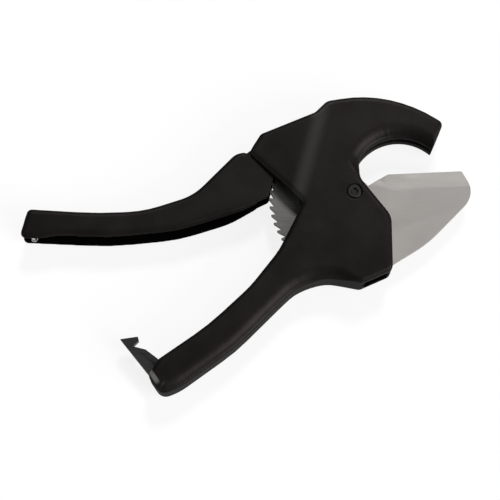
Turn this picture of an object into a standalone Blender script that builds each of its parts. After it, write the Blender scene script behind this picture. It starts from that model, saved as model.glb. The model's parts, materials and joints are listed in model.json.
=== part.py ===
"""Ratcheting cutter for plastic pipe, lying flat with its handles open.

A one-piece casting carries the hook jaw, the head, the hood and the lower handle. The blade swings in
a slot of the casting and has a toothed tail. The channel-shaped upper handle pushes the tail with a
pawl, a second pawl in the casting holds it, and a latch on the lower handle keeps the handles closed.

Sizes are millimetres, turned into metres as each mesh is made. Plan positions are measured from the
blade pivot: X to the right along the open blade, Y away from the user, Z up from the resting face.
"""
from math import atan2, ceil, cos, degrees, hypot, pi, radians, sin, tan

import bmesh
import bpy
from mathutils import Matrix, Vector

MM = 0.001
ARC_STEP = 6.0
EDGE_STEPS = 4
ROUND_SIDES = 24

# Clearances
PIN_FIT = 0.2
RUN_GAP = 0.35
SEAT_GAP = 0.25

# Where the blade pivot stands in the part's frame, whose origin is the middle of the resting box
PIVOT_X = 53.48
PIVOT_Y = 24.92

# Cast frame
BODY_THICK = 20.0
BODY_ROUND = 2.4
CRADLE_ROUND = 4.5
UNDER_ROUND = 3.6
MID = BODY_THICK / 2
FACE_SKIN = 2.4
HOOK_RADIUS = 24.8
HOOK_CENTRE = (24.0, 5.2)
HOOK_BACK_RADIUS = 68.8
HOOK_BACK_CENTRE = (5.5, -18.1)
HOOK_SLOPE_START = 10.0
HOOK_TAPER = 2.6
HOOK_RUN = 34.0
HOOD_DROP = 1.5
HOOD_RUN = 29.0
BOTTOM_WALL = 2.0
MOUTH_LOW = 4.5
MOUTH_HIGH = 13.5
MOUTH_DEPTH = 4.0
MOUTH_SIDE = 2.2

# Blade and its toothed tail
BLADE_THICK = 2.5
BLADE_BEVEL = 8.4
BLADE_REACH = 59.4
HUB_RADIUS = 9.4
TAIL_RADIUS = 42.5
TAIL_START = 145.0
TOOTH_COUNT = 16
TOOTH_PITCH = 6.0
TOOTH_DEPTH = 2.6
TOOTH_UNDERCUT = 0.6
TOOTH_LAND = 1.0
OPEN_SWING = 48.0
CLOSE_SWING = 48.0

# Blade pivot
BOLT_RADIUS = 2.8
BOLT_HEAD_RADIUS = 3.6
BOLT_HEAD_THICK = 1.6
BOLT_HEAD_PROUD = 0.25
BOLT_DIMPLE_RADIUS = 1.7
BOLT_DIMPLE_DEPTH = 0.9
THREAD_RADIUS = 2.3
NUT_RADIUS = 5.2
NUT_THICK = 3.4
BUSH_RADIUS = 4.6
WASHER_RADIUS = 8.4
WASHER_THICK = 1.0

# Upper handle
HANDLE_REACH = 126.75
HANDLE_THICK = 13.0
HANDLE_ROUND = 2.6
HANDLE_WALL = 2.3
HANDLE_WEB = 2.4
HANDLE_END_WALL = 2.6
HANDLE_END_DEPTH = 5.0
FORK_THICK = 12.8
EAR_RADIUS = 4.4
EAR_GAP = 0.9
EAR_BEARING = 147.8
HANDLE_PIN_RADIUS = 2.0
HANDLE_SWING = 35.5
HANDLE_SPRING_RADIUS = 3.1
HANDLE_SPRING_WIRE = 0.9
HANDLE_SPRING_TURNS = 4.5
CATCH_PIN_RADIUS = 1.4

# Drive pawl
DRIVE_PIN_RADIUS = 1.5
DRIVE_PAWL_THICK = 4.6
DRIVE_PAWL_LENGTH = 18.5
DRIVE_PAWL_BEARING = -41.0
DRIVE_PAWL_BOSS = 3.6
DRIVE_SPRING_RADIUS = 2.6
DRIVE_SPRING_WIRE = 0.7
DRIVE_SPRING_TURNS = 1.8

# Holding pawl
HOLD_PIN_OUT = 4.9
HOLD_PIN_BEARING = 234.8
HOLD_PIN_RADIUS = 1.5
HOLD_PAWL_BOSS = 3.6
HOLD_PAWL_THICK = 2.5
HOLD_NOSE_OUT = 0.4
HOLD_NOSE_BEARING = 221.5
HOLD_SWING = 8.0
HOLD_SPRING_THICK = 0.6

# Blade stop
STOP_RADIUS = 1.5
STOP_PLACE = 38.0

# Latch
LATCH_PIN = (-95.4, -91.2)
LATCH_PIN_RADIUS = 1.6
LATCH_THICK = 4.0
LATCH_BOSS = 4.6
LATCH_FRONT = 4.0
LATCH_FRONT_END = 285.0
LATCH_SHANK = 6.6
LATCH_WASHER_THICK = 0.8
LATCH_WASHER_RADIUS = 3.6
LATCH_BACK_BEARING = 128.9
LATCH_SWING = 40.0
LATCH_SLOT_OPEN = 45.0


def polar(radius, bearing, centre=(0.0, 0.0)):
    """The point at a distance and a bearing in degrees from a centre."""
    angle = radians(bearing)
    return (centre[0] + radius * cos(angle), centre[1] + radius * sin(angle))


def shifted(point, dx, dy):
    return (point[0] + dx, point[1] + dy)


def bearing_of(point, centre=(0.0, 0.0)):
    return degrees(atan2(point[1] - centre[1], point[0] - centre[0]))


def arc(centre, radius, start, end):
    """Points on an arc from one bearing to another, both ends included."""
    steps = max(2, ceil(abs(end - start) / ARC_STEP))
    return [polar(radius, start + (end - start) * i / steps, centre) for i in range(steps + 1)]


def circle(centre, radius, sides=ROUND_SIDES):
    return [polar(radius, 360.0 * i / sides, centre) for i in range(sides)]


def half_angle(before, corner, after):
    here = Vector(corner[:2])
    return (Vector(before[:2]) - here).angle(Vector(after[:2]) - here) / 2


def fillet(before, corner, after, reach):
    """The arc that rounds one corner between its neighbours, with its reach along their sides."""
    here = Vector(corner[:2])
    back = (Vector(before[:2]) - here).normalized()
    on = (Vector(after[:2]) - here).normalized()
    half = half_angle(before, corner, after)
    radius = reach * tan(half)
    middle = here + (back + on).normalized() * (radius / sin(half))
    first = here + back * reach
    last = here + on * reach
    start = atan2(first.y - middle.y, first.x - middle.x)
    turn = atan2(last.y - middle.y, last.x - middle.x) - start
    turn = (turn + pi) % (2 * pi) - pi
    return arc(tuple(middle), radius, degrees(start), degrees(start + turn))


def round_corners(trios):
    """Rounds corners (x, y, radius), each between its neighbours, and shares out sides too short for both."""
    reaches = [here[2] / tan(half_angle(before, here, after)) for before, here, after in trios]
    shares = [1.0] * len(trios)
    for i, (before, here, after) in enumerate(trios):
        for j, other in ((i - 1, before), (i + 1, after)):
            near = j % len(trios)
            meets = reaches[near] if trios[near][1] is other else 0.0
            side = hypot(here[0] - other[0], here[1] - other[1])
            shares[i] = min(shares[i], side / (reaches[i] + meets))
    path = []
    for trio, reach, share in zip(trios, reaches, shares):
        path += fillet(*trio, reach * share)
    return path


def rounded(corners):
    """An open path through corners (x, y, radius), its first and last points left sharp."""
    inner = round_corners(list(zip(corners, corners[1:], corners[2:])))
    return [tuple(corners[0][:2])] + inner + [tuple(corners[-1][:2])]


def edged(points, least, most=None):
    """Outline points with their edge's rounding, which grows from both ends to the middle."""
    runs = [0.0]
    for before, here in zip(points, points[1:]):
        runs.append(runs[-1] + hypot(here[0] - before[0], here[1] - before[1]))
    growth = (most or least) - least
    return [(x, y, least + growth * sin(pi * run / runs[-1])) for (x, y), run in zip(points, runs)]


def rounded_loop(corners):
    """A closed outline through corners (x, y, radius), every corner rounded."""
    return round_corners(list(zip(corners[-1:] + corners[:-1], corners, corners[1:] + corners[:1])))


def inset_path(path, distance):
    """The path moved to its left by a distance, end points moved square to the path."""
    moved = []
    for i, point in enumerate(path):
        before = Vector(path[max(i - 1, 0)])
        after = Vector(path[min(i + 1, len(path) - 1)])
        along = (after - before).normalized()
        moved.append((point[0] - along.y * distance, point[1] + along.x * distance))
    return moved


def turned(points, centre, bearing):
    """Points given along and across a direction, laid out in plan."""
    angle = radians(bearing)
    return [(centre[0] + u * cos(angle) - v * sin(angle), centre[1] + u * sin(angle) + v * cos(angle))
            for u, v in points]


def new_object(name, mesh):
    body = bpy.data.objects.new(name, mesh)
    bpy.context.scene.collection.objects.link(body)
    return body


def from_bmesh(name, bm):
    bmesh.ops.recalc_face_normals(bm, faces=bm.faces)
    mesh = bpy.data.meshes.new(name)
    bm.to_mesh(mesh)
    bm.free()
    return new_object(name, mesh)


def prism(name, outline, low, high):
    """A plan outline extruded from one height to another."""
    bm = bmesh.new()
    floor = [bm.verts.new((x * MM, y * MM, low * MM)) for x, y in outline]
    face = bm.faces.new(floor)
    raised = bmesh.ops.extrude_face_region(bm, geom=[face])["geom"]
    lifted = [item for item in raised if isinstance(item, bmesh.types.BMVert)]
    bmesh.ops.translate(bm, vec=(0, 0, (high - low) * MM), verts=lifted)
    return from_bmesh(name, bm)


def cast_plate(name, outline, low, high):
    """A plate between two heights whose outline points (x, y, rounding) carry its edges' rounding."""
    inward = []
    for i, here in enumerate(outline):
        back = (Vector(here[:2]) - Vector(outline[i - 1][:2])).normalized().orthogonal()
        on = (Vector(outline[(i + 1) % len(outline)][:2]) - Vector(here[:2])).normalized().orthogonal()
        inward.append((back + on) / (1.0 + back.dot(on)))
    rings = []
    for face, up in ((low, -1.0), (high, 1.0)):
        turns = [radians(90.0 * step / EDGE_STEPS) for step in range(EDGE_STEPS + 1)]
        for turn in turns if up > 0 else reversed(turns):
            rings.append([(x + side.x * edge * (1.0 - cos(turn)), y + side.y * edge * (1.0 - cos(turn)),
                           face - up * edge * (1.0 - sin(turn)))
                          for (x, y, edge), side in zip(outline, inward)])
    bm = bmesh.new()
    loops = [[bm.verts.new(Vector(point) * MM) for point in points] for points in rings]
    for first, second in zip(loops, loops[1:]):
        for i in range(len(outline)):
            bm.faces.new((first[i - 1], first[i], second[i], second[i - 1]))
    bm.faces.new(loops[0])
    bm.faces.new(loops[-1])
    return from_bmesh(name, bm)


def slab(name, outline, thick):
    """A plate of a given thickness, centred on the casting's middle plane."""
    return prism(name, outline, MID - thick / 2, MID + thick / 2)


def lathe(name, profile, centre, sides=ROUND_SIDES):
    """A turned solid: (radius, height) points from the bottom of the axis to its top."""
    bm = bmesh.new()
    rings = []
    for radius, height in profile:
        points = circle(centre, radius, sides) if radius > 0 else [centre]
        rings.append([bm.verts.new((x * MM, y * MM, height * MM)) for x, y in points])
    for low, high in zip(rings, rings[1:]):
        for i in range(sides):
            j = (i + 1) % sides
            corners = [low[i % len(low)], low[j % len(low)], high[j % len(high)], high[i % len(high)]]
            bm.faces.new(list(dict.fromkeys(corners)))
    return from_bmesh(name, bm)


def ring(name, centre, outer, inner, low, high):
    """A plain washer or bush."""
    bm = bmesh.new()
    loops = []
    for radius, height in ((inner, low), (outer, low), (outer, high), (inner, high)):
        loops.append([bm.verts.new((x * MM, y * MM, height * MM)) for x, y in circle(centre, radius)])
    for first, second in zip(loops, loops[1:] + loops[:1]):
        for i in range(ROUND_SIDES):
            j = (i + 1) % ROUND_SIDES
            bm.faces.new((first[i], first[j], second[j], second[i]))
    return from_bmesh(name, bm)


def hull(name, points):
    """The convex solid around a few points."""
    bm = bmesh.new()
    corners = [bm.verts.new(Vector(point) * MM) for point in points]
    bmesh.ops.convex_hull(bm, input=corners)
    return from_bmesh(name, bm)


def apply_modifiers(body):
    graph = bpy.context.evaluated_depsgraph_get()
    mesh = bpy.data.meshes.new_from_object(body.evaluated_get(graph))
    old = body.data
    body.modifiers.clear()
    body.data = mesh
    bpy.data.meshes.remove(old)


def combine(body, tools, operation="DIFFERENCE"):
    """Cuts the tools out of a body, or joins them to it, and removes them."""
    for tool in tools:
        step = body.modifiers.new(tool.name, "BOOLEAN")
        step.operation = operation
        step.solver = "EXACT"
        step.object = tool
    apply_modifiers(body)
    for tool in tools:
        bpy.data.objects.remove(tool)
    return body


def wire(name, points, diameter):
    """A round wire along points, closed at both ends."""
    curve = bpy.data.curves.new(name, "CURVE")
    curve.dimensions = "3D"
    curve.bevel_depth = diameter / 2 * MM
    curve.bevel_resolution = 1
    curve.use_fill_caps = True
    spline = curve.splines.new("POLY")
    spline.points.add(len(points) - 1)
    for spot, point in zip(spline.points, points):
        spot.co = (*(Vector(point) * MM), 1.0)
    guide = new_object(name + "_route", curve)
    graph = bpy.context.evaluated_depsgraph_get()
    mesh = bpy.data.meshes.new_from_object(guide.evaluated_get(graph))
    bpy.data.objects.remove(guide)
    bm = bmesh.new()
    bm.from_mesh(mesh)
    bmesh.ops.remove_doubles(bm, verts=bm.verts, dist=1e-7)
    bpy.data.meshes.remove(mesh)
    return from_bmesh(name, bm)


def material(name, colour, roughness, metallic):
    finish = bpy.data.materials.new(name)
    finish.use_nodes = True
    shader = finish.node_tree.nodes["Principled BSDF"]
    shader.inputs["Base Color"].default_value = (*colour, 1.0)
    shader.inputs["Roughness"].default_value = roughness
    shader.inputs["Metallic"].default_value = metallic
    return finish


def place(body, carrier, finish):
    """Hangs a finished body on its carrier, whose place becomes the body's origin."""
    body.data.transform(Matrix.Translation(-carrier["place"].to_3d()))
    body.parent = carrier["empty"]
    body.data.materials.clear()
    body.data.materials.append(finish)
    body.data.shade_smooth()
    body.data.set_sharp_from_angle(angle=radians(35.0))
    return body


def carrier(name, spot, parent=None):
    """An empty on an axis, with its plan place in the tool's own measure."""
    empty = new_object(name, None)
    here = Vector(spot) * MM
    empty.location = (here - (parent["place"] if parent else Vector((0.0, 0.0)))).to_3d()
    empty.parent = parent["empty"] if parent else None
    return {"empty": empty, "place": here}


# Places and heights worked out from the sizes above
TAIL_ROOT = TAIL_RADIUS - TOOTH_DEPTH
TAIL_CLEAR = TAIL_RADIUS + 2 * RUN_GAP
TAIL_END = TAIL_START + TOOTH_COUNT * TOOTH_PITCH
EAR_PIVOT = polar(TAIL_RADIUS + EAR_GAP + EAR_RADIUS, EAR_BEARING)
HOLD_PIN = polar(TAIL_RADIUS + HOLD_PIN_OUT, HOLD_PIN_BEARING)
HOLD_NOSE = polar(TAIL_RADIUS + HOLD_NOSE_OUT, HOLD_NOSE_BEARING)
HOLD_LENGTH = hypot(HOLD_NOSE[0] - HOLD_PIN[0], HOLD_NOSE[1] - HOLD_PIN[1])
HOLD_BEARING = bearing_of(HOLD_NOSE, HOLD_PIN)
HOLD_CAUGHT = polar(HOLD_LENGTH, HOLD_BEARING - HOLD_SWING, HOLD_PIN)
TOOTH_PHASE = bearing_of(HOLD_CAUGHT) + 0.8
PIN_LOW = 0.4
PIN_HOLE_TOP = BODY_THICK - FACE_SKIN
HANDLE_LOW = MID - HANDLE_THICK / 2
HANDLE_HIGH = MID + HANDLE_THICK / 2
CAVITY_THICK = HANDLE_THICK - 2 * HANDLE_WALL
CAVITY_LOW = MID - CAVITY_THICK / 2
CAVITY_HIGH = MID + CAVITY_THICK / 2
HANDLE_HOLE_TOP = HANDLE_HIGH - HANDLE_WALL / 2
BLADE_HIGH = MID + BLADE_THICK / 2
WASHER_SEAT = BLADE_THICK / 2 + SEAT_GAP
BOLT_TOP = BODY_THICK + BOLT_HEAD_PROUD
BOLT_NECK = BOLT_TOP - BOLT_HEAD_THICK
NUT_TOP = PIN_LOW + NUT_THICK
LATCH_STACK = LATCH_THICK + SEAT_GAP + LATCH_WASHER_THICK
LATCH_LOW = MID - LATCH_STACK / 2
LATCH_HIGH = LATCH_LOW + LATCH_THICK
STOP_BEARING = TAIL_START - OPEN_SWING - degrees((STOP_RADIUS + SEAT_GAP) / STOP_PLACE)
STOP_SPOT = polar(STOP_PLACE, STOP_BEARING)
HOLD_SPRING_BACK = HOLD_PAWL_BOSS + 1.0 + SEAT_GAP + 2 * HOLD_SPRING_THICK
PAST = 1.0

# Ends of the blade's edge and belly
EDGE_HEEL = (17.8, 11.9)
EDGE_TIP = (BLADE_REACH - 4.1, 13.6)
BELLY_END = (16.0, -37.4)

# The hood's corners stand round the handle pivot, and the handle is laid out from the same pivot
HOOD_NECK = shifted(EAR_PIVOT, 21.35, 16.83)
HOOD_CORNER = shifted(EAR_PIVOT, -6.15, 5.73)
HOOD_TIP = shifted(EAR_PIVOT, -12.55, -4.57)
HOOD_FOOT = (-25.6, -5.4)
EAR_TOP_BEARING = 125.6
EAR_FRONT_BEARING = -15.4
HANDLE_NECK = shifted(EAR_PIVOT, -12.55, -2.87)
HANDLE_END_TOP = shifted(EAR_PIVOT, 4.0 - HANDLE_REACH, -33.17)
HANDLE_END_FOOT = shifted(EAR_PIVOT, -HANDLE_REACH, -48.47)
FORK_FOOT = shifted(EAR_PIVOT, -2.15, -26.87)
DRIVE_PIN = shifted(EAR_PIVOT, -16.55, -12.47)
CATCH_PIN = shifted(EAR_PIVOT, 6.6 - HANDLE_REACH, -46.27)

# Ends of the lower handle and the facet under the head
BELLY = -(TAIL_CLEAR + BOTTOM_WALL)
BELLY_NECK = (-22.6, BELLY + 3.6)
FACET_START = (2.8, BELLY - 1.4)
FACET_END = (18.4, -39.6)
GRIP_END_TOP = shifted(LATCH_PIN, -0.9, 6.9)
GRIP_END_BACK = shifted(LATCH_PIN, -6.0, -1.4)

# Where the catch pin stands when the handles are closed, which sets the latch's length
CATCH_CLOSED = polar(hypot(CATCH_PIN[0] - EAR_PIVOT[0], CATCH_PIN[1] - EAR_PIVOT[1]),
                     bearing_of(CATCH_PIN, EAR_PIVOT) + HANDLE_SWING, EAR_PIVOT)
LATCH_REACH = hypot(CATCH_CLOSED[0] - LATCH_PIN[0], CATCH_CLOSED[1] - LATCH_PIN[1])


def frame_outline():
    """The casting in plan, from the inner corner of the hook's tip round by the hood and handle."""
    cradle = arc(HOOK_CENTRE, HOOK_RADIUS, 141.0, 49.0)
    back = arc(HOOK_BACK_CENTRE, HOOK_BACK_RADIUS, 57.0, 100.0)
    tip = rounded([cradle[-1], (46.2, 37.5, 2.8), back[0]])
    upper = rounded([
        back[-1],
        (-13.0, 48.5, 6.0),
        (*HOOD_NECK, 4.0),
        (*HOOD_CORNER, 2.8),
        (*HOOD_TIP, 2.8),
        (*HOOD_FOOT, 3.0),
        (-38.0, -30.2, 30.0),
        (-52.0, -48.2, 60.0),
        (-72.5, -67.6, 120.0),
        (*GRIP_END_TOP, 2.8),
        GRIP_END_BACK,
    ])
    under = rounded([
        GRIP_END_TOP,
        (*GRIP_END_BACK, 3.0),
        (*shifted(LATCH_PIN, 0.2, -10.4), 5.0),
        (*shifted(LATCH_PIN, 8.9, -7.1), 30.0),
        (-59.0, -78.4, 100.0),
        (*BELLY_NECK, 24.0),
        FACET_START,
    ])
    right = rounded([
        BELLY_NECK,
        (*FACET_START, 3.0),
        (*FACET_END, 3.5),
        (18.4, -12.2, 9.0),
        (3.0, 8.0, 8.0),
        (2.9, 17.8, 5.0),
        cradle[0],
    ])
    return (edged(tip[1:-1] + back + upper[1:-1], BODY_ROUND) + edged(under[1:-1], BODY_ROUND, UNDER_ROUND)
            + edged(right[1:-1], BODY_ROUND) + edged(cradle, BODY_ROUND, CRADLE_ROUND))


def slope_faces(body):
    """Thins the hood towards the handle and the hook towards its tip, by both faces."""
    crease_top = (-14.7, 51.1)
    crease_foot = (-30.5, -5.9)
    hood = (crease_foot, bearing_of(crease_top, crease_foot) + 90.0, HOOD_DROP / HOOD_RUN, HOOD_FOOT[1] - 5.0)
    hook = ((HOOK_SLOPE_START, 0.0), 0.0, HOOK_TAPER / HOOK_RUN, HOOK_CENTRE[1] + 8.8)
    bm = bmesh.new()
    bm.from_mesh(body.data)
    for start, downhill, slope, lowest in (hood, hook):
        on = Vector((*start, 0.0)) * MM
        along = Vector((*polar(1.0, downhill), 0.0))
        bmesh.ops.bisect_plane(bm, geom=[*bm.verts, *bm.edges, *bm.faces], plane_co=on, plane_no=along)
        for corner in bm.verts:
            run = (corner.co - on).dot(along)
            if run > 0.0 and corner.co.y > lowest * MM:
                corner.co.z = MID * MM + (corner.co.z - MID * MM) * (1.0 - run * slope / (MID * MM))
    bm.to_mesh(body.data)
    bm.free()
    return body


def blade_slot():
    """The slot the blade and its tail sweep, open through the hook and the right-hand edge."""
    mouth_low = bearing_of(FACET_START) % 360.0
    mouth_high = CLOSE_SWING + 18.5
    outline = arc((0.0, 0.0), TAIL_CLEAR, mouth_high, mouth_low)
    outline += arc((0.0, 0.0), BLADE_REACH + 4 * RUN_GAP, mouth_low, 360.0 + mouth_high)
    return slab("blade_slot", outline, BLADE_THICK + 2 * RUN_GAP)


def slot_mouth():
    """The wider mouth of that slot in the facet under the head."""
    along = bearing_of(FACET_END, FACET_START)
    far = hypot(FACET_END[0] - FACET_START[0], FACET_END[1] - FACET_START[1]) - MOUTH_SIDE
    corners = [(MOUTH_SIDE, -2 * PAST), (far, -2 * PAST), (far, MOUTH_DEPTH), (MOUTH_SIDE, MOUTH_DEPTH)]
    return prism("slot_mouth", turned(corners, FACET_START, along), MOUTH_LOW, MOUTH_HIGH)


def fork_pocket():
    """The wider room under the hood for the fork of the handle and its swing."""
    around = EAR_RADIUS + RUN_GAP
    sweep = 31.5
    behind = 25.0
    left = 215.0
    spare = 1.0
    front = EAR_FRONT_BEARING + HANDLE_SWING + 10.6
    foot = bearing_of(FORK_FOOT, EAR_PIVOT) % 360.0 + HANDLE_SWING + spare
    top = polar(around, EAR_TOP_BEARING, EAR_PIVOT)
    outline = [polar(behind, EAR_TOP_BEARING + 90.0, top)]
    outline += arc(EAR_PIVOT, sweep, left, foot)
    outline += arc(EAR_PIVOT, around, front, EAR_TOP_BEARING)
    return slab("fork_pocket", outline, FORK_THICK + 2 * RUN_GAP)


def hold_pocket():
    """Room for the holding pawl and its leaf spring, beside the tail's slot."""
    around = HOLD_PAWL_BOSS + RUN_GAP
    outer = HOLD_SPRING_BACK + SEAT_GAP
    ahead = HOLD_LENGTH + 4.0
    turn = 2.0
    corners = [(-around, -around, turn), (ahead, -around, turn), (ahead, outer, turn), (-around, outer, turn)]
    return slab("hold_pocket", turned(rounded_loop(corners), HOLD_PIN, HOLD_BEARING),
                HOLD_PAWL_THICK + 2 * RUN_GAP)


def latch_slot():
    """The slot in the end of the lower handle that the latch swings in."""
    out = LATCH_BACK_BEARING + LATCH_SWING
    low = out + LATCH_SLOT_OPEN
    clear = 24.0
    boss = arc(LATCH_PIN, LATCH_BOSS + RUN_GAP, low + 90.0, LATCH_BACK_BEARING + LATCH_FRONT_END)
    front = -LATCH_FRONT - RUN_GAP
    outline = boss + turned([(LATCH_SHANK, front), (clear, front)], LATCH_PIN, LATCH_BACK_BEARING)
    outline += [polar(clear, out, LATCH_PIN), polar(clear, low, boss[0])]
    return slab("latch_slot", outline, LATCH_STACK + 2 * RUN_GAP)


def bore(name, centre, radius, low, high):
    return prism(name, circle(centre, radius + PIN_FIT), low, high)


def build_frame():
    body = slope_faces(cast_plate("frame", frame_outline(), 0.0, BODY_THICK))
    pivot = (0.0, 0.0)
    washer_room = 2 * (WASHER_SEAT + WASHER_THICK + PIN_FIT)
    cuts = [
        blade_slot(), slot_mouth(), fork_pocket(), hold_pocket(), latch_slot(),
        slab("washer_room", circle(pivot, WASHER_RADIUS + PIN_FIT), washer_room),
        bore("bolt_bore", pivot, BOLT_RADIUS, -PAST, BODY_THICK + PAST),
        bore("head_seat", pivot, BOLT_HEAD_RADIUS, BOLT_NECK - PIN_FIT, BODY_THICK + PAST),
        bore("nut_seat", pivot, NUT_RADIUS, -PAST, NUT_TOP + PIN_FIT),
        bore("handle_pin_bore", EAR_PIVOT, HANDLE_PIN_RADIUS, -PAST, PIN_HOLE_TOP),
        bore("hold_pin_bore", HOLD_PIN, HOLD_PIN_RADIUS, -PAST, PIN_HOLE_TOP),
        bore("stop_pin_bore", STOP_SPOT, STOP_RADIUS, -PAST, PIN_HOLE_TOP),
        bore("latch_pin_bore", LATCH_PIN, LATCH_PIN_RADIUS, -PAST, PIN_HOLE_TOP),
    ]
    return combine(body, cuts)


def pressed_pin(name, centre, radius, low, high):
    """A plain pin with chamfered ends."""
    lip = 0.3
    profile = [(0.0, low), (radius - lip, low), (radius, low + lip),
               (radius, high - lip), (radius - lip, high), (0.0, high)]
    return lathe(name, profile, centre)


def tooth_profile():
    """The saw teeth of the tail, their undercut faces turned against the opening swing."""
    first = TOOTH_PHASE - TOOTH_PITCH * ceil((TOOTH_PHASE - TAIL_START) / TOOTH_PITCH - 1)
    points = []
    for i in range(TOOTH_COUNT - 1):
        face = first + i * TOOTH_PITCH
        points += [polar(TAIL_ROOT, face + TOOTH_UNDERCUT), polar(TAIL_RADIUS, face),
                   polar(TAIL_RADIUS, face + TOOTH_LAND)]
    return points


def blade_outline():
    """The blade in plan: cutting edge, hub, toothed tail and belly."""
    heel = polar(HUB_RADIUS, 36.0)
    edge = rounded([BELLY_END, (37.1, -24.3, 60.0), (BLADE_REACH + 2.3, 0.9, 11.0), (*EDGE_TIP, 1.2),
                    (*EDGE_HEEL, 4.0), heel])
    hub = arc((0.0, 0.0), HUB_RADIUS, 45.0, TAIL_START - 12.0)
    back = [polar(TAIL_ROOT - 2.0, TAIL_START), polar(TAIL_ROOT, TAIL_START + 1.0)]
    under = arc((0.0, 0.0), TAIL_ROOT, TAIL_END, 360.0 + bearing_of(BELLY_END))
    return edge + hub + back + tooth_profile() + under[:-1]


def edge_grinds():
    """Wedges that grind both faces of the blade down to its cutting edge."""
    along = bearing_of(EDGE_TIP, EDGE_HEEL)
    keel = 0.2
    drop = BLADE_THICK / 2 - keel
    past = 3.0
    rows = [(4.0, -BLADE_BEVEL - past, -drop * past / BLADE_BEVEL),
            (-10.0, past, drop * (1 + past / BLADE_BEVEL))]
    grinds = []
    for name, side in (("front_grind", 1.0), ("back_grind", -1.0)):
        corners = []
        for start, across, depth in rows:
            for u in (start, BLADE_REACH):
                spot = turned([(u, across)], EDGE_HEEL, along)[0]
                corners.append((*spot, MID + side * (BLADE_THICK / 2 - depth)))
                corners.append((*spot, MID + side * (BLADE_THICK + 3.0)))
        grinds.append(hull(name, corners))
    return grinds


def build_blade():
    body = slab("blade", blade_outline(), BLADE_THICK)
    eye = bore("blade_eye", (0.0, 0.0), BUSH_RADIUS, MID - BLADE_THICK, MID + BLADE_THICK)
    return combine(body, edge_grinds() + [eye])


def build_pivot():
    """The shoulder bolt with its dimpled head, the nut, the bush and the two thrust washers."""
    pivot = (0.0, 0.0)
    rim = 0.4
    shoulder = NUT_TOP + PIN_FIT
    dimple = BOLT_TOP - BOLT_DIMPLE_DEPTH
    bolt = lathe("pivot_bolt", [
        (0.0, PIN_LOW), (THREAD_RADIUS, PIN_LOW), (THREAD_RADIUS, shoulder), (BOLT_RADIUS, shoulder),
        (BOLT_RADIUS, BOLT_NECK), (BOLT_HEAD_RADIUS, BOLT_NECK), (BOLT_HEAD_RADIUS, BOLT_TOP - rim),
        (BOLT_HEAD_RADIUS - rim, BOLT_TOP), (BOLT_DIMPLE_RADIUS, BOLT_TOP),
        (BOLT_DIMPLE_RADIUS - rim, dimple), (0.0, dimple)], pivot)
    nut = prism("pivot_nut", circle(pivot, NUT_RADIUS, 6), PIN_LOW, NUT_TOP)
    combine(nut, [bore("nut_thread", pivot, THREAD_RADIUS, -PAST, NUT_TOP + PAST)])
    bore_radius = BOLT_RADIUS + PIN_FIT
    bush = ring("blade_bush", pivot, BUSH_RADIUS, bore_radius, MID - BLADE_THICK / 2, BLADE_HIGH)
    front = MID + WASHER_SEAT
    back = MID - WASHER_SEAT - WASHER_THICK
    washers = [ring("thrust_washer_front", pivot, WASHER_RADIUS, bore_radius, front, front + WASHER_THICK),
               ring("thrust_washer_back", pivot, WASHER_RADIUS, bore_radius, back, back + WASHER_THICK)]
    return bolt, nut, bush, washers


def handle_back():
    """Corners along the outer edge of the upper handle, from the hood towards its free end."""
    back = [(-18.95, -4.07, 8.0), (-40.05, -25.97, 28.0), (-64.55, -34.07, 60.0), (-86.85, -35.37, 200.0)]
    return [(*shifted(EAR_PIVOT, x, y), radius) for x, y, radius in back]


def handle_outline():
    """The grip part of the upper handle, kept clear of the hood through its whole swing."""
    front = [(-81.55, -50.57, 150.0), (-47.55, -47.07, 80.0), (-21.55, -38.77, 50.0), (-7.45, -30.37, 2.7),
             (-11.95, -6.47, 3.0)]
    corners = [(*HANDLE_NECK, 2.7)] + handle_back() + [(*HANDLE_END_TOP, 2.7), (*HANDLE_END_FOOT, 3.0)]
    corners += [(*shifted(EAR_PIVOT, x, y), radius) for x, y, radius in front]
    return rounded_loop(corners)


def fork_outline():
    """The thinner fork that runs in under the hood to the handle pivot."""
    ear = arc(EAR_PIVOT, EAR_RADIUS, EAR_FRONT_BEARING, EAR_TOP_BEARING)
    inside = [(-13.05, -4.07, 1.0), (-17.55, -17.47, 3.0), (-14.55, -33.07, 2.0)]
    corners = [(*shifted(EAR_PIVOT, x, y), radius) for x, y, radius in inside]
    rest = rounded([ear[-1]] + corners + [(*FORK_FOOT, 2.0), ear[0]])
    return ear + rest[1:-1]


def handle_cavity():
    """The inside of the channel, open along its lower edge and at the fork."""
    top = rounded([HANDLE_NECK] + handle_back() + [HANDLE_END_TOP])
    web = inset_path(top, HANDLE_WEB)[:-1]
    slant = bearing_of(HANDLE_END_FOOT, HANDLE_END_TOP)
    end_top = polar(HANDLE_END_WALL, slant + 90.0, polar(HANDLE_WEB, slant, HANDLE_END_TOP))
    end_foot = polar(HANDLE_END_DEPTH, slant, end_top)
    outside = polar(10.0, slant - 90.0, end_foot)
    below = polar(20.0, slant, outside)
    right = -20.0
    outline = [(right, 45.0), (HANDLE_NECK[0] + 1.8, 45.0)] + web
    outline += [end_top, end_foot, outside, below, (right, below[1])]
    return slab("handle_cavity", outline, CAVITY_THICK)


def build_handle():
    body = cast_plate("upper_handle", edged(handle_outline(), HANDLE_ROUND), HANDLE_LOW, HANDLE_HIGH)
    combine(body, [slab("fork", fork_outline(), FORK_THICK)], "UNION")
    return combine(body, [
        handle_cavity(),
        bore("ear_bore", EAR_PIVOT, HANDLE_PIN_RADIUS, -PAST, BODY_THICK + PAST),
        bore("drive_pin_bore", DRIVE_PIN, DRIVE_PIN_RADIUS, -PAST, HANDLE_HOLE_TOP),
        bore("catch_pin_bore", CATCH_PIN, CATCH_PIN_RADIUS, -PAST, HANDLE_HOLE_TOP),
    ])


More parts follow.
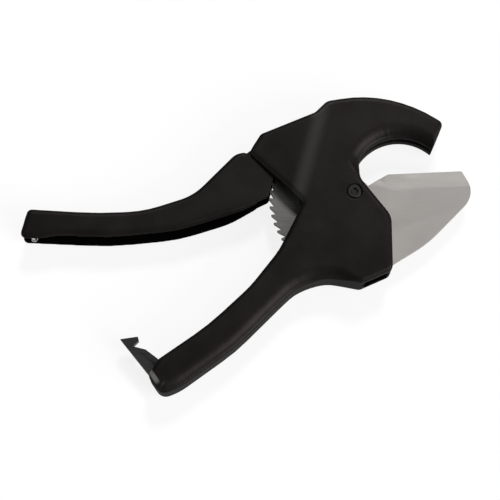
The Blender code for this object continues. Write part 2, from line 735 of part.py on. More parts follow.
def coil(name, centre, radius, diameter, turns, low, high, start, leg):
    """A torsion spring: wound turns between two heights, with a straight leg at each end."""
    per_turn = 10
    steps = ceil(turns * per_turn)
    bottom = low + diameter / 2
    climb = high - low - diameter
    turning = [(*polar(radius, start + 360.0 * turns * i / steps, centre), bottom + climb * i / steps)
               for i in range(steps + 1)]
    finish = start + 360.0 * turns
    first = (*polar(leg, start - 90.0, turning[0][:2]), bottom)
    last = (*polar(leg, finish + 90.0, turning[-1][:2]), bottom + climb)
    gap = climb / turns - diameter
    print(name, "least gap between turns", round(gap, 2), "mm")
    return wire(name, [first] + turning + [last], diameter)


def build_drive_pawl():
    """The strut that the handle pushes the teeth with."""
    length = DRIVE_PAWL_LENGTH
    boss = arc((0.0, 0.0), DRIVE_PAWL_BOSS, 80.0, 280.0)
    strut = [(length - 5.0, -3.4), (length - 0.6, -2.0), (length, 0.0),
             (length - 3.0, 0.2), (length - 10.0, 1.3)]
    outline = turned(boss + strut, DRIVE_PIN, DRIVE_PAWL_BEARING)
    low = CAVITY_LOW + RUN_GAP
    body = prism("drive_pawl", outline, low, low + DRIVE_PAWL_THICK)
    eye = bore("drive_pawl_eye", DRIVE_PIN, DRIVE_PIN_RADIUS, low - PAST, MID + CAVITY_THICK)
    return combine(body, [eye])


def build_holding_pawl():
    """The hooked pawl in the casting that keeps the tail from running back."""
    length = HOLD_LENGTH
    boss = arc((0.0, 0.0), HOLD_PAWL_BOSS, 95.0, 265.0)
    hook = [(length - 8.5, -2.4), (length - 4.0, 0.3), (length - 0.7, 1.9), (length - 0.2, 0.0),
            (length + 0.3, 0.0), (length + 2.8, 2.7), (length + 2.0, HOLD_PAWL_BOSS + 1.0)]
    outline = turned(boss + hook, HOLD_PIN, HOLD_BEARING)
    body = slab("holding_pawl", outline, HOLD_PAWL_THICK)
    eye = bore("hold_eye", HOLD_PIN, HOLD_PIN_RADIUS, MID - HOLD_PAWL_THICK, MID + HOLD_PAWL_THICK)
    return combine(body, [eye])


def build_holding_spring():
    """A bowed leaf between the pocket's wall and the back of the holding pawl."""
    ends = HOLD_SPRING_BACK
    bow = ends - HOLD_SPRING_THICK
    front = [(-2.6, ends - HOLD_SPRING_THICK), (1.5, bow - HOLD_SPRING_THICK),
             (HOLD_LENGTH - 2.0, bow - HOLD_SPRING_THICK), (HOLD_LENGTH + 2.4, ends - HOLD_SPRING_THICK)]
    back = [(u, v + HOLD_SPRING_THICK) for u, v in reversed(front)]
    return slab("holding_pawl_spring", turned(front + back, HOLD_PIN, HOLD_BEARING), HOLD_PAWL_THICK)


def build_latch():
    """The hook that catches the pin of the closed upper handle."""
    face = LATCH_REACH + CATCH_PIN_RADIUS + SEAT_GAP
    boss = arc((0.0, 0.0), LATCH_BOSS, 90.0, LATCH_FRONT_END)
    hook = [(LATCH_SHANK, -LATCH_FRONT), (face - 5.4, -2.0), (face - 0.2, 1.9), (face + 0.2, -2.0),
            (face + 2.1, -2.9), (face + 6.5, LATCH_BOSS)]
    outline = turned(boss + hook, LATCH_PIN, LATCH_BACK_BEARING)
    body = prism("latch", outline, LATCH_LOW, LATCH_HIGH)
    return combine(body, [bore("latch_eye", LATCH_PIN, LATCH_PIN_RADIUS, -PAST, BODY_THICK)])


def build():
    for old in list(bpy.data.objects):
        bpy.data.objects.remove(old)
    black = material("black_paint", (0.016, 0.015, 0.015), 0.45, 0.0)
    steel = material("blade_steel", (0.48, 0.47, 0.44), 0.35, 1.0)
    plain = material("bright_steel", (0.55, 0.55, 0.55), 0.3, 1.0)
    bronze = material("bronze", (0.45, 0.28, 0.12), 0.4, 1.0)
    dark = material("dark_steel", (0.05, 0.05, 0.05), 0.4, 1.0)

    base = new_object("tool_frame", None)
    base.location = (PIVOT_X * MM, PIVOT_Y * MM, 0.0)
    tool = {"empty": base, "place": Vector((0.0, 0.0))}
    blade_axis = carrier("blade_axis", (0.0, 0.0), tool)
    handle_axis = carrier("handle_axis", EAR_PIVOT, tool)
    drive_axis = carrier("drive_pawl_axis", DRIVE_PIN, handle_axis)
    hold_axis = carrier("holding_pawl_axis", HOLD_PIN, tool)
    latch_axis = carrier("latch_axis", LATCH_PIN, tool)

    place(build_frame(), tool, black)
    bolt, nut, bush, washers = build_pivot()
    place(bolt, tool, plain)
    place(nut, tool, plain)
    for washer in washers:
        place(washer, tool, plain)
    pin_top = PIN_HOLE_TOP - PIN_FIT
    place(pressed_pin("handle_pivot_pin", EAR_PIVOT, HANDLE_PIN_RADIUS, PIN_LOW, pin_top), tool, plain)
    place(pressed_pin("holding_pawl_pin", HOLD_PIN, HOLD_PIN_RADIUS, PIN_LOW, pin_top), tool, plain)
    place(pressed_pin("blade_stop_pin", STOP_SPOT, STOP_RADIUS, PIN_LOW, pin_top), tool, plain)
    place(pressed_pin("latch_pin", LATCH_PIN, LATCH_PIN_RADIUS, PIN_LOW, pin_top), tool, plain)
    place(build_holding_spring(), tool, steel)

    place(build_blade(), blade_axis, steel)
    place(bush, blade_axis, bronze)

    place(build_handle(), handle_axis, black)
    handle_pin_low = HANDLE_LOW + PIN_LOW
    handle_pin_top = HANDLE_HOLE_TOP - PIN_FIT
    place(pressed_pin("catch_pin", CATCH_PIN, CATCH_PIN_RADIUS, handle_pin_low, handle_pin_top),
          handle_axis, plain)
    place(pressed_pin("drive_pawl_pin", DRIVE_PIN, DRIVE_PIN_RADIUS, handle_pin_low, handle_pin_top),
          handle_axis, plain)
    place(coil("handle_spring", EAR_PIVOT, HANDLE_SPRING_RADIUS, HANDLE_SPRING_WIRE, HANDLE_SPRING_TURNS,
               CAVITY_LOW + SEAT_GAP, CAVITY_HIGH - SEAT_GAP, 35.0, 1.5), handle_axis, steel)
    spring_low = CAVITY_LOW + RUN_GAP + DRIVE_PAWL_THICK + SEAT_GAP
    place(coil("drive_pawl_spring", DRIVE_PIN, DRIVE_SPRING_RADIUS, DRIVE_SPRING_WIRE, DRIVE_SPRING_TURNS,
               spring_low, CAVITY_HIGH - SEAT_GAP, 250.0, 1.5), handle_axis, steel)

    place(build_drive_pawl(), drive_axis, plain)
    place(build_holding_pawl(), hold_axis, plain)

    place(build_latch(), latch_axis, dark)
    washer_low = LATCH_HIGH + SEAT_GAP
    place(ring("latch_washer", LATCH_PIN, LATCH_WASHER_RADIUS, LATCH_PIN_RADIUS + PIN_FIT,
               washer_low, washer_low + LATCH_WASHER_THICK), latch_axis, plain)


build()
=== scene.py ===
"""Looks of the pipe cutter: rounded castings, ground steel, camera, light and floor.

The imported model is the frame. Each node is replaced by a finer piece made from its own mesh, so every piece
stays where the frame says. Lengths are metres.
"""
import json
from math import atan2, cos, degrees, exp, radians, sin, sqrt

import bmesh
import bpy
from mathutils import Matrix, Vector
from mathutils.kdtree import KDTree

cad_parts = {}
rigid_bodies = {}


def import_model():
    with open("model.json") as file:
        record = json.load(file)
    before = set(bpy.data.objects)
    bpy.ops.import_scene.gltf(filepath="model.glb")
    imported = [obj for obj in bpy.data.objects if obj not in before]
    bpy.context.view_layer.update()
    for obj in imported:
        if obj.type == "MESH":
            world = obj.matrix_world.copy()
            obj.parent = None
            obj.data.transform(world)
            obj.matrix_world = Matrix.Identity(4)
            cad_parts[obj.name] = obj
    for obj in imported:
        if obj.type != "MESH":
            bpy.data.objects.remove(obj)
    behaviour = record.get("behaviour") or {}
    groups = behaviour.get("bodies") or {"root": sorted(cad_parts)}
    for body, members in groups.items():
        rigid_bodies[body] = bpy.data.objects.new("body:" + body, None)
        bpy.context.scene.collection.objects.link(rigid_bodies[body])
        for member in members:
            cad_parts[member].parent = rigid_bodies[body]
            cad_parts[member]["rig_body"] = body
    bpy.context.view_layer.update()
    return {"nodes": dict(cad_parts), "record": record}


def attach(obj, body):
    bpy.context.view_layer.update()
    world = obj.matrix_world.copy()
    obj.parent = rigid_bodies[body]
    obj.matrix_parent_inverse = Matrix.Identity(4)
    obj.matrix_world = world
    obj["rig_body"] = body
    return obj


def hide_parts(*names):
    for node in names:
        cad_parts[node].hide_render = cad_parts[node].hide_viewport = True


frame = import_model()
MM = 0.001

# Joints that places are measured from
JOINTS = {joint["name"]: joint for joint in frame["record"]["behaviour"]["joints"]}
PIVOT = Vector(JOINTS["blade_swing"]["pos_m"])
EAR = Vector(JOINTS["handle_swing"]["pos_m"])

# Camera, as the photograph shows the tool
CAMERA_TARGET = PIVOT + Vector((-52.03, -27.73, 0.0)) * MM
CAMERA_DISTANCE = 694.0 * MM
CAMERA_ELEVATION = 75.0
CAMERA_LENS = 100.0
SENSOR = 36.0

# Meshes: corners closer than MERGE are one, and faces bent less than FLAT_BEND are one flat
MERGE = 0.001 * MM
FLAT_BEND = 0.5

# Castings: the size of their even mesh, and how it is softened
VOXEL = 0.4 * MM
SOFTEN_STEPS = 6
SOFTEN_SHARE = 0.5

# Steel pieces: width of their broken edges, from what bend an edge is broken, and from what bend it shades
# sharp, which is far less between two broad faces of a plate
STEEL_EDGE = 0.12 * MM
BREAK_BEND = 28.0
SHARP_BEND = 40.0
BROAD_BEND = 2.0
BROAD_TILT = 0.9

# Half the thickness of the frame, of the upper handle and of the handle's fork
BODY_HALF = 10.0 * MM
HANDLE_HALF = 6.5 * MM
FORK_HALF = 6.4 * MM

# Broad rounding of the frame's front edges: its radius, the least that is made, the band of heights and
# tilts that marks the edge, and how far inside the wall that band runs
FRONT_ROUND = 6.0 * MM
LEAST_ROUND = 0.5 * MM
EDGE_LOW = 5.0 * MM
EDGE_TILTS = (0.3, 0.7)
EDGE_INSET = 0.4 * MM

# Outward bearings over which that rounding fades in and out, on the grip, the jaw and the jaw's tip
GRIP_BEARINGS = (-60.0, -20.0, 60.0, 90.0)
JAW_BEARINGS = (-85.0, -55.0, 95.0, 125.0)
TIP_BEARINGS = (-85.0, -55.0, 10.0, 40.0)

# Where the jaw, its tip and the grip begin from the blade's pivot, and where the rounding fades along them
JAW_LEFT = -6.0 * MM
JAW_RISE = (6.0 * MM, 16.0 * MM)
TIP_START = 34.0 * MM
GRIP_TOP = -22.0 * MM
GRIP_FADE = (-10.0 * MM, 3.0 * MM)
GRIP_LOSS = 0.7

# Front edge of the upper handle from its pivot, how far its upper side is set back there, over what depth
# and length, and the width and height of its rounding. LIP_THICK is how far down the lip is shaped
LIP = [Vector(spot) * MM for spot in ((-126.75, -48.47), (-81.55, -50.57), (-47.55, -47.07),
                                      (-21.55, -38.77), (-7.45, -30.37), (-2.15, -26.87))]
LIP_BACK = 2.5 * MM
LIP_DEPTH = 12.0 * MM
LIP_THICK = 2.4 * MM
LIP_ROUND = (5.0 * MM, 1.6 * MM)
LIP_IN = (-120.0 * MM, -104.0 * MM)
LIP_OUT = (-26.0 * MM, -8.0 * MM)

# Stretch over which the handle's faces run into its fork's, and how close to a face a corner lies on it
FORK_RUN = (-26.0 * MM, -12.0 * MM)
ON_FACE = 0.05 * MM

# Creases of the cast frame, from the blade's pivot: a point and the direction downhill, the slope, half
# the width of the bend, the height of the flank beside it, and where the bend fades in along Y
CREASE_KEYS = ("foot", "along", "slope", "width", "flank", "fade")
HOOD_CREASE = {"foot": Vector((-30.5, -5.9)) * MM, "along": Vector((-0.9637, 0.2671)), "slope": 1.5 / 29.0,
               "width": 4.0 * MM, "flank": 0.6 * MM, "fade": (-10.4 * MM, -3.0 * MM)}
HOOK_CREASE = {"foot": Vector((10.0, 0.0)) * MM, "along": Vector((1.0, 0.0)), "slope": 2.6 / 34.0,
               "width": 11.0 * MM, "flank": 0.0, "fade": (16.0 * MM, 34.0 * MM)}

# A flank's foot, top and end across its crease
FLANK_FOOT = -6.5 * MM
FLANK_TOP = 3.5 * MM
FLANK_END = 24.0 * MM

# The neck under the head: its middle from the blade's pivot, the way it faces, how far it stands fuller than
# the solid, over what reach, and how deep the change runs
NECK = Vector((-22.6, -46.0)) * MM
NECK_OUT = Vector((0.35, -0.937))
NECK_FULL = 1.1 * MM
NECK_REACH = 9.0 * MM
NECK_DEPTH = 6.0 * MM

# Paint: its two tones, its range of roughness, its metallic share and specular level, the scale of its
# clouds, and the scale and height of its orange peel and of its grain
PAINT_LOW = (0.0137, 0.0122, 0.0117)
PAINT_HIGH = (0.0172, 0.0155, 0.015)
PAINT_ROUGH = (0.43, 0.49)
PAINT_METAL = 0.6
PAINT_SPECULAR = 0.06
CLOUD_SCALE = 60.0
PEEL = (260.0, 0.04 * MM)
GRAIN = (900.0, 0.03 * MM)

# Painted highlights on the paint: middle from the blade's pivot, bearing, half the length and width, how much
# of the width fades, and colour. The first is a pale band beside the hood's crease, the second a bare-metal
# grey strip along the grip's end.
# HIGHLIGHT_ENDS is how much of the length fades
PAINTED_HIGHLIGHTS = (
    # Pale band painted beside the hood's crease as a highlight
    {"centre": Vector((-22.3, 19.0)) * MM, "bearing": 74.5, "half_length": 36.0 * MM,
     "half_width": 5.8 * MM, "soft": 1.0, "colour": (0.030, 0.0285, 0.0275)},
    # Bare-metal grey strip painted along the grip's end as a highlight
    {"centre": Vector((-99.6, -91.4)) * MM, "bearing": -55.4, "half_length": 7.0 * MM,
     "half_width": 1.5 * MM, "soft": 0.7, "colour": (0.21, 0.207, 0.20)},
)
HIGHLIGHT_ENDS = 0.4

# Painted shade in the slots: heights over which it fades out, and how far a face is turned up where it is
# painted
SLOT_SHADE_TOP = (9.0 * MM, 7.0 * MM)
SLOT_SHADE_TURN = (0.2, 0.5)
SLOT_SHADE = (0.0030, 0.0028, 0.0027)

# Steel: scale, draw and height of its brushed grain, and scale of its clouds
BRUSH_SCALE = 2400.0
BRUSH_DRAW = (0.02, 1.0, 1.0)
BRUSH_HEIGHT = 0.002 * MM
STEEL_CLOUD = 45.0

# The blade's toothed tail, painted darker as shade under the hood: from where to where along X it turns
# plain, and its two tones
TAIL_SHADE = {"dark_to": PIVOT.x - 13.0 * MM, "plain_from": PIVOT.x - 8.0 * MM,
        "low": (0.155, 0.151, 0.147), "high": (0.205, 0.201, 0.197)}

# Floor: half its side, how far it lies under the tool, its two tones, and how far it is plain white where it
# is looked at, which keeps a faint shadow
FLOOR_HALF = 4.0
FLOOR_DROP = 0.05 * MM
FLOOR_LOW = (0.95, 0.95, 0.95)
FLOOR_HIGH = (0.97, 0.97, 0.97)
FLOOR_SCALE = 8.0
FLOOR_ROUGH = 0.9
FLOOR_WHITE = 0.85

# Light from all round, and how far off the lamps stand
SKY_LIGHT = 0.07
LAMP_DISTANCE = 1.0


def add_node(tree, kind, **values):
    """A shader node with its properties, or its input sockets by name, set."""
    node = tree.nodes.new(kind)
    for key, value in values.items():
        if hasattr(node, key):
            setattr(node, key, value)
        else:
            node.inputs[key.replace("_", " ")].default_value = value
    return node


def new_finish(name):
    """A node material, its Principled shader and its object coordinates."""
    finish = bpy.data.materials.new(name)
    finish.use_nodes = True
    tree = finish.node_tree
    shader = tree.nodes["Principled BSDF"]
    place = add_node(tree, "ShaderNodeTexCoord")
    return finish, tree, shader, place.outputs["Object"]


def noise(tree, place, scale, detail=3.0, stretch=None):
    """A noise pattern, turned and drawn out where stretch gives a rotation and a scale."""
    pattern = add_node(tree, "ShaderNodeTexNoise", Scale=scale, Detail=detail)
    if stretch:
        mapping = add_node(tree, "ShaderNodeMapping", Rotation=stretch[0], Scale=stretch[1])
        tree.links.new(place, mapping.inputs["Vector"])
        place = mapping.outputs["Vector"]
    tree.links.new(place, pattern.inputs["Vector"])
    return pattern.outputs["Fac"]


def blend_colours(tree, factor, low, high, start=0.35, end=0.65):
    """A colour that goes from low to high as a factor goes from start to end."""
    ramp = add_node(tree, "ShaderNodeValToRGB")
    ramp.color_ramp.elements[0].position = start
    ramp.color_ramp.elements[0].color = (*low, 1.0)
    ramp.color_ramp.elements[1].position = end
    ramp.color_ramp.elements[1].color = (*high, 1.0)
    tree.links.new(factor, ramp.inputs["Fac"])
    return ramp.outputs["Color"]


def spread(tree, factor, low, high, start=0.3, end=0.7):
    """A value that goes from low to high as a factor goes from start to end."""
    reach = add_node(tree, "ShaderNodeMapRange", From_Min=start, From_Max=end, To_Min=low, To_Max=high)
    tree.links.new(factor, reach.inputs["Value"])
    return reach.outputs["Result"]


def between(tree, value, low, high):
    """A share that goes smoothly from 0 to 1 as a value goes from low to high."""
    share = add_node(tree, "ShaderNodeMapRange", interpolation_type="SMOOTHSTEP",
                     From_Min=low, From_Max=high)
    tree.links.new(value, share.inputs["Value"])
    return share.outputs["Result"]


def product(tree, first, second):
    """Two shares multiplied."""
    both = add_node(tree, "ShaderNodeMath", operation="MULTIPLY")
    tree.links.new(first, both.inputs[0])
    tree.links.new(second, both.inputs[1])
    return both.outputs["Value"]


def axis_of(tree, vector, axis):
    """One axis of a vector."""
    parts = add_node(tree, "ShaderNodeSeparateXYZ")
    tree.links.new(vector, parts.inputs["Vector"])
    return parts.outputs[axis]


def bumps(tree, shader, layers):
    """Stacks bump layers, each a pattern with its height in metres."""
    normal = None
    for pattern, height in layers:
        bump = add_node(tree, "ShaderNodeBump", Strength=1.0, Distance=height)
        tree.links.new(pattern, bump.inputs["Height"])
        if normal:
            tree.links.new(normal, bump.inputs["Normal"])
        normal = bump.outputs["Normal"]
    tree.links.new(normal, shader.inputs["Normal"])


def band(tree, place, highlight):
    """A share that is 1 along the middle of a painted highlight and falls to 0 at its sides and ends."""
    local = add_node(tree, "ShaderNodeMapping", vector_type="TEXTURE")
    local.inputs["Location"].default_value = PIVOT + highlight["centre"].to_3d()
    local.inputs["Rotation"].default_value = (0.0, 0.0, radians(highlight["bearing"]))
    local.inputs["Scale"].default_value = (highlight["half_length"], highlight["half_width"], 1.0)
    tree.links.new(place, local.inputs["Vector"])
    shares = []
    for axis, fall in (("X", HIGHLIGHT_ENDS), ("Y", highlight["soft"])):
        size = add_node(tree, "ShaderNodeMath", operation="ABSOLUTE")
        tree.links.new(axis_of(tree, local.outputs["Vector"], axis), size.inputs[0])
        shares.append(between(tree, size.outputs["Value"], 1.0, 1.0 - fall))
    return product(tree, *shares)


def paint_light_over(tree, tone, share, colour):
    """A tone turned to another colour by a share, which paints highlights and shade over it."""
    mix = add_node(tree, "ShaderNodeMix", data_type="RGBA")
    tree.links.new(share, mix.inputs["Factor"])
    tree.links.new(tone, mix.inputs["A"])
    mix.inputs["B"].default_value = (*colour, 1.0)
    return mix.outputs["Result"]


def slot_shade_share(tree, place):
    """Share of painted shade, low in the slots on faces that look up."""
    low = between(tree, axis_of(tree, place, "Z"), *SLOT_SHADE_TOP)
    faces = add_node(tree, "ShaderNodeNewGeometry")
    up = between(tree, axis_of(tree, faces.outputs["Normal"], "Z"), *SLOT_SHADE_TURN)
    return product(tree, low, up)


def cast_paint():
    """Satin black coat over a die casting: orange peel, slow changes of tone, painted highlights and painted
    shade low in the slots.
    """
    finish, tree, shader, place = new_finish("cast_paint")
    cloud = noise(tree, place, CLOUD_SCALE, 4.0)
    tone = blend_colours(tree, cloud, PAINT_LOW, PAINT_HIGH)
    # Painted highlights: a pale band beside the hood's crease and a bare-metal strip along the grip's end
    for highlight in PAINTED_HIGHLIGHTS:
        tone = paint_light_over(tree, tone, band(tree, place, highlight), highlight["colour"])
    # Painted shade, darker low in the slots on faces that look up
    tone = paint_light_over(tree, tone, slot_shade_share(tree, place), SLOT_SHADE)
    tree.links.new(tone, shader.inputs["Base Color"])
    tree.links.new(spread(tree, cloud, *PAINT_ROUGH), shader.inputs["Roughness"])
    shader.inputs["Metallic"].default_value = PAINT_METAL
    shader.inputs["Specular IOR Level"].default_value = PAINT_SPECULAR
    # A black tint keeps the pale floor from being mirrored in walls seen at a grazing angle
    shader.inputs["Specular Tint"].default_value = (0.0, 0.0, 0.0, 1.0)
    peel = noise(tree, place, PEEL[0], 3.0)
    grain = noise(tree, place, GRAIN[0], 2.0)
    bumps(tree, shader, [(peel, PEEL[1]), (grain, GRAIN[1])])
    return finish


def steel(name, low, high, rough, turn=0.0, tail=None):
    """Ground steel with its grain along one direction, and a tail painted darker as shade where one is given.
    """
    finish, tree, shader, place = new_finish(name)
    brushed = noise(tree, place, BRUSH_SCALE, 3.0, ((0.0, 0.0, radians(turn)), BRUSH_DRAW))
    cloud = noise(tree, place, STEEL_CLOUD, 4.0)
    tone = blend_colours(tree, cloud, low, high)
    # The tail is painted darker as shade under the hood
    if tail:
        share = add_node(tree, "ShaderNodeMapRange", From_Min=tail["dark_to"], From_Max=tail["plain_from"])
        tree.links.new(axis_of(tree, place, "X"), share.inputs["Value"])
        mix = add_node(tree, "ShaderNodeMix", data_type="RGBA")
        tree.links.new(share.outputs["Result"], mix.inputs["Factor"])
        tree.links.new(blend_colours(tree, brushed, tail["low"], tail["high"]), mix.inputs["A"])
        tree.links.new(tone, mix.inputs["B"])
        tone = mix.outputs["Result"]
    tree.links.new(tone, shader.inputs["Base Color"])
    tree.links.new(spread(tree, brushed, *rough), shader.inputs["Roughness"])
    shader.inputs["Metallic"].default_value = 1.0
    bumps(tree, shader, [(brushed, BRUSH_HEIGHT)])
    return finish


def applied(piece):
    """Keeps what a piece's modifiers make as its mesh."""
    graph = bpy.context.evaluated_depsgraph_get()
    mesh = bpy.data.meshes.new_from_object(piece.evaluated_get(graph))
    piece.modifiers.clear()
    old = piece.data
    piece.data = mesh
    bpy.data.meshes.remove(old)
    return piece


def copy_node(node, name):
    """A new piece with a node's mesh, its split corners joined and its flat faces whole again."""
    mesh = bpy.data.meshes.new(name)
    bm = bmesh.new()
    bm.from_mesh(frame["nodes"][node].data)
    bmesh.ops.remove_doubles(bm, verts=bm.verts, dist=MERGE)
    bmesh.ops.dissolve_limit(bm, angle_limit=radians(FLAT_BEND), verts=bm.verts, edges=bm.edges)
    bm.to_mesh(mesh)
    bm.free()
    piece = bpy.data.objects.new(name, mesh)
    bpy.context.scene.collection.objects.link(piece)
    return piece


def dress(piece, node, finish):
    """Puts a piece in a node's stead, with its finish."""
    body = frame["nodes"][node]["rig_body"]
    piece.data.materials.clear()
    piece.data.materials.append(finish)
    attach(piece, body)
    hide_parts(node)
    return piece


def ramp_up(value, start, end):
    """A smooth step from 0 at start to 1 at end."""
    share = min(max((value - start) / (end - start), 0.0), 1.0)
    return share * share * (3.0 - 2.0 * share)


def fallen(inside, width, height):
    """How far a rounding has fallen at a distance inside its edge."""
    share = min(max(inside / width, 0.0), 1.0)
    return height * (1.0 - sqrt(1.0 - (1.0 - share) ** 2))


def soften_crease(piece, crease):
    """Turns a crease between two flat faces into a broad bend, with a flank up to it on the upper face."""
    foot, along, slope, width, flank, fade = (crease[key] for key in CREASE_KEYS)
    for corner in piece.data.vertices:
        spot = corner.co - PIVOT
        run = (spot.xy - foot).dot(along)
        share = min(1.0, (spot.y - fade[0]) / (fade[1] - fade[0])) * abs(spot.z) / BODY_HALF
        if share > 0.0 and spot.z > 0.0:
            rise = ramp_up(run, FLANK_FOOT, FLANK_TOP) * (1.0 - ramp_up(run, FLANK_TOP, FLANK_END))
            corner.co.z += flank * rise * share
        if share > 0.0 and abs(run) < width:
            bend = slope * ((run + width) ** 2 / (4 * width) - max(run, 0.0)) * share
            corner.co.z -= bend if spot.z > 0.0 else -bend


def front_radius(spot, outward):
    """Radius of the broad rounding at a place on the frame's edge, by where it is and which way it faces."""
    bearing = degrees(atan2(outward.x, -outward.y))
    jaw = spot.y > JAW_RISE[0] and spot.x > JAW_LEFT
    grip = spot.y < GRIP_TOP
    if not jaw and not grip:
        return 0.0
    start, full, last, end = JAW_BEARINGS if jaw else GRIP_BEARINGS
    if jaw and spot.x > TIP_START:
        start, full, last, end = TIP_BEARINGS
    share = ramp_up(bearing, start, full) * (1.0 - ramp_up(bearing, last, end))
    if jaw:
        share *= ramp_up(spot.y, *JAW_RISE)
    else:
        share *= 1.0 - GRIP_LOSS * ramp_up(spot.x, *GRIP_FADE)
    return FRONT_ROUND * share


def top_of_frame(spot):
    """Height of the frame's face over its middle, which falls along the hook."""
    if spot.y < HOOK_CREASE["fade"][0]:
        return BODY_HALF
    return BODY_HALF - HOOK_CREASE["slope"] * max(0.0, spot.x - HOOK_CREASE["foot"].x)


def fill_neck(piece):
    """Makes the frame's neck fuller."""
    for corner in piece.data.vertices:
        reach = (corner.co - PIVOT).xy - NECK
        share = ramp_up(reach.dot(NECK_OUT), -NECK_DEPTH, 0.0) * exp(-(reach.length / NECK_REACH) ** 2)
        corner.co += (NECK_OUT * NECK_FULL * share).to_3d()


def front_edge(piece):
    """Places along the frame's upper edge that are rounded, each with its outward direction and radius."""
    edge = []
    for corner in piece.data.vertices:
        spot = corner.co - PIVOT
        if spot.z > EDGE_LOW and EDGE_TILTS[0] < corner.normal.z < EDGE_TILTS[1]:
            outward = corner.normal.xy.normalized()
            radius = front_radius(spot, outward)
            if radius > LEAST_ROUND:
                edge.append((spot.xy.to_3d(), outward.to_3d(), radius))
    return edge


def shape_frame(piece):
    """Fills out the frame's neck, and rounds its upper edges broadly where they face the front."""
    fill_neck(piece)
    edge = front_edge(piece)
    near = KDTree(len(edge))
    for index, (place, outward, radius) in enumerate(edge):
        near.insert(place, index)
    near.balance()
    for corner in piece.data.vertices:
        spot = corner.co - PIVOT
        if spot.z > 0.0:
            level = spot.xy.to_3d()
            place, index, gap = near.find(level)
            if gap < FRONT_ROUND:
                outward, radius = edge[index][1:]
                inside = gap if (level - place).dot(outward) < 0.0 else -gap
                limit = top_of_frame(spot) - fallen(inside + EDGE_INSET, radius, radius)
                corner.co.z = PIVOT.z + min(spot.z, limit)


def lip_line(x):
    """Where the handle's front edge stands across from its pivot."""
    for start, end in zip(LIP, LIP[1:]):
        if x <= end.x:
            break
    share = min(max((x - start.x) / (end.x - start.x), 0.0), 1.0)
    return start.y + (end.y - start.y) * share


def shape_handle(piece):
    """Sets the handle's upper lip back with a broad rounding, and evens the step where its fork starts."""
    for corner in piece.data.vertices:
        spot = corner.co - EAR
        if abs(spot.z) > FORK_HALF - ON_FACE and spot.x > FORK_RUN[0]:
            even = HANDLE_HALF + (FORK_HALF - HANDLE_HALF) * ramp_up(spot.x, *FORK_RUN)
            corner.co.z = EAR.z + (even if spot.z > 0.0 else -even)
        if spot.z > HANDLE_HALF - LIP_THICK:
            along = ramp_up(spot.x, *LIP_IN) * (1.0 - ramp_up(spot.x, *LIP_OUT))
            inside = max(0.0, spot.y - lip_line(spot.x))
            corner.co.y += along * LIP_BACK * max(0.0, 1.0 - inside / LIP_DEPTH)
            corner.co.z -= along * fallen(inside, *LIP_ROUND)


def remeshed(piece, soften_steps=0):
    """A piece's solid with an even mesh, softened where steps are given."""
    skin = piece.modifiers.new("skin", "REMESH")
    skin.mode = "VOXEL"
    skin.voxel_size = VOXEL
    if soften_steps:
        soften = piece.modifiers.new("soften", "SMOOTH")
        soften.factor = SOFTEN_SHARE
        soften.iterations = soften_steps
    return applied(piece)


def casting(node, name, finish, reshape, creases=()):
    """A cast piece: the node's solid, reshaped, with every edge softened as a mould leaves it."""
    piece = remeshed(copy_node(node, name))
    reshape(piece)
    remeshed(piece, SOFTEN_STEPS)
    for crease in creases:
        soften_crease(piece, crease)
    piece.data.shade_smooth()
    return dress(piece, node, finish)


def keep_flats(piece):
    """Marks the edges sharp that are bent far, or that part two broad faces of a plate."""
    bm = bmesh.new()
    bm.from_mesh(piece.data)
    for edge in bm.edges:
        if len(edge.link_faces) == 2:
            broad = all(abs(face.normal.z) > BROAD_TILT for face in edge.link_faces)
            edge.smooth = edge.calc_face_angle() < radians(BROAD_BEND if broad else SHARP_BEND)
    bm.to_mesh(piece.data)
    bm.free()


def steel_piece(node, name, finish):
    """A steel piece with its edges broken."""
    piece = copy_node(node, name)
    broken = piece.modifiers.new("edges", "BEVEL")
    broken.width = STEEL_EDGE
    broken.segments = 2
    broken.limit_method = "ANGLE"
    broken.angle_limit = radians(BREAK_BEND)
    applied(piece)
    piece.data.shade_smooth()
    keep_flats(piece)
    return dress(piece, node, finish)


def make_camera():
    """The camera, in front of the tool and high above it."""
    data = bpy.data.cameras.new("camera")
    data.lens = CAMERA_LENS
    data.sensor_width = SENSOR
    camera = bpy.data.objects.new("camera", data)
    bpy.context.scene.collection.objects.link(camera)
    tilt = radians(CAMERA_ELEVATION)
    back = Vector((0.0, -cos(tilt), sin(tilt)))
    camera.location = CAMERA_TARGET + back * CAMERA_DISTANCE
    camera.rotation_euler = back.to_track_quat("Z", "Y").to_euler()
    bpy.context.scene.camera = camera


def seen_directly(tree, share):
    """A share where the camera, a reflection or clear glass looks, and none for plain light."""
    path = add_node(tree, "ShaderNodeLightPath")
    seen = path.outputs["Is Camera Ray"]
    for ray in ("Is Glossy Ray", "Is Transmission Ray"):
        either = add_node(tree, "ShaderNodeMath", operation="MAXIMUM")
        tree.links.new(seen, either.inputs[0])
        tree.links.new(path.outputs[ray], either.inputs[1])
        seen = either.outputs["Value"]
    part = add_node(tree, "ShaderNodeMath", operation="MULTIPLY")
    part.inputs[1].default_value = share
    tree.links.new(seen, part.inputs[0])
    return part.outputs["Value"]


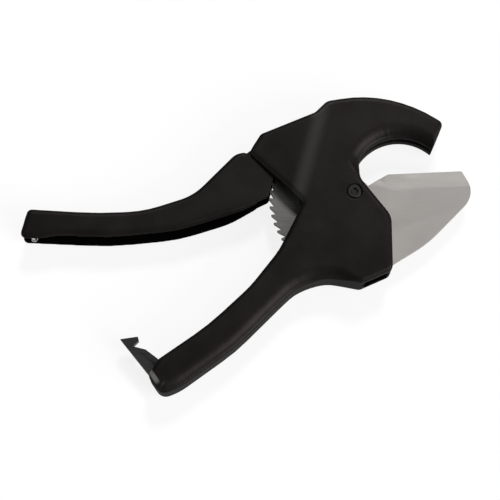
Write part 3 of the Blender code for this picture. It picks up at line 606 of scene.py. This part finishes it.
def make_floor():
    """A wide pale floor just under the tool."""
    mesh = bpy.data.meshes.new("floor")
    signs = ((-1, -1), (1, -1), (1, 1), (-1, 1))
    corners = [(x * FLOOR_HALF, y * FLOOR_HALF, -FLOOR_DROP) for x, y in signs]
    mesh.from_pydata(corners, [], [(0, 1, 2, 3)])
    floor = bpy.data.objects.new("floor", mesh)
    bpy.context.scene.collection.objects.link(floor)
    finish, tree, shader, place = new_finish("floor_paper")
    paper = blend_colours(tree, noise(tree, place, FLOOR_SCALE), FLOOR_LOW, FLOOR_HIGH)
    tree.links.new(paper, shader.inputs["Base Color"])
    shader.inputs["Roughness"].default_value = FLOOR_ROUGH
    shader.inputs["Specular IOR Level"].default_value = 0.0
    white = add_node(tree, "ShaderNodeEmission", Strength=1.0)
    mix = add_node(tree, "ShaderNodeMixShader")
    tree.links.new(seen_directly(tree, FLOOR_WHITE), mix.inputs["Fac"])
    tree.links.new(shader.outputs["BSDF"], mix.inputs[1])
    tree.links.new(white.outputs["Emission"], mix.inputs[2])
    tree.links.new(mix.outputs["Shader"], tree.nodes["Material Output"].inputs["Surface"])
    mesh.materials.append(finish)


def lamp(name, energy, azimuth, elevation, angle):
    """A broad distant lamp that shines at the tool from an azimuth, 0 in front and 90 at the right."""
    data = bpy.data.lights.new(name, "SUN")
    data.energy = energy
    data.angle = radians(angle)
    light = bpy.data.objects.new(name, data)
    bpy.context.scene.collection.objects.link(light)
    around = radians(azimuth)
    up = radians(elevation)
    away = Vector((sin(around) * cos(up), -cos(around) * cos(up), sin(up)))
    light.location = CAMERA_TARGET + away * LAMP_DISTANCE
    light.rotation_euler = away.to_track_quat("Z", "Y").to_euler()


def make_light():
    """Soft light from all round, and four broad lamps."""
    world = bpy.data.worlds.new("studio")
    world.use_nodes = True
    sky = world.node_tree.nodes["Background"]
    sky.inputs["Color"].default_value = (1.0, 1.0, 1.0, 1.0)
    sky.inputs["Strength"].default_value = SKY_LIGHT
    bpy.context.scene.world = world
    lamp("key", energy=2.0, azimuth=168.0, elevation=46.0, angle=12.0)
    lamp("fill", energy=0.45, azimuth=82.0, elevation=58.0, angle=24.0)
    lamp("kicker", energy=3.7, azimuth=62.0, elevation=20.0, angle=46.0)
    lamp("side", energy=0.6, azimuth=290.0, elevation=18.0, angle=40.0)


# Finishes
black = cast_paint()
blade_steel = steel("ground_blade", (0.34, 0.326, 0.312), (0.375, 0.36, 0.343), (0.64, 0.68),
                    turn=3.0, tail=TAIL_SHADE)
pawl_steel = steel("oiled_steel", (0.10, 0.10, 0.10), (0.14, 0.14, 0.14), (0.35, 0.45), turn=40.0)
bright = steel("bright_steel", (0.50, 0.50, 0.50), (0.58, 0.58, 0.58), (0.26, 0.38), turn=40.0)
spring = steel("spring_steel", (0.36, 0.36, 0.37), (0.44, 0.44, 0.45), (0.25, 0.35))
dark = steel("blackened_steel", (0.046, 0.045, 0.045), (0.07, 0.069, 0.069), (0.38, 0.5), turn=35.0)
bronze = steel("bearing_bronze", (0.42, 0.27, 0.12), (0.50, 0.33, 0.16), (0.3, 0.4))
oxide = steel("black_oxide", (0.022, 0.021, 0.021), (0.03, 0.029, 0.029), (0.45, 0.55))

# Pieces
casting("frame", "cast_frame", black, shape_frame, (HOOD_CREASE, HOOK_CREASE))
casting("upper_handle", "cast_handle", black, shape_handle)
steel_piece("blade", "ground_blade", blade_steel)
steel_piece("latch", "stamped_latch", dark)
steel_piece("pivot_bolt", "turned_bolt", oxide)
for node in ("pivot_nut", "thrust_washer_front", "thrust_washer_back", "handle_pivot_pin",
             "holding_pawl_pin", "blade_stop_pin", "latch_pin", "catch_pin", "drive_pawl_pin",
             "latch_washer"):
    steel_piece(node, node + "_part", bright)
for node in ("drive_pawl", "holding_pawl"):
    steel_piece(node, node + "_part", pawl_steel)
steel_piece("blade_bush", "turned_bush", bronze)
for node in ("holding_pawl_spring", "drive_pawl_spring", "handle_spring"):
    steel_piece(node, node + "_part", spring)

make_camera()
make_floor()
make_light()

bpy.context.scene.view_settings.view_transform = "Standard"
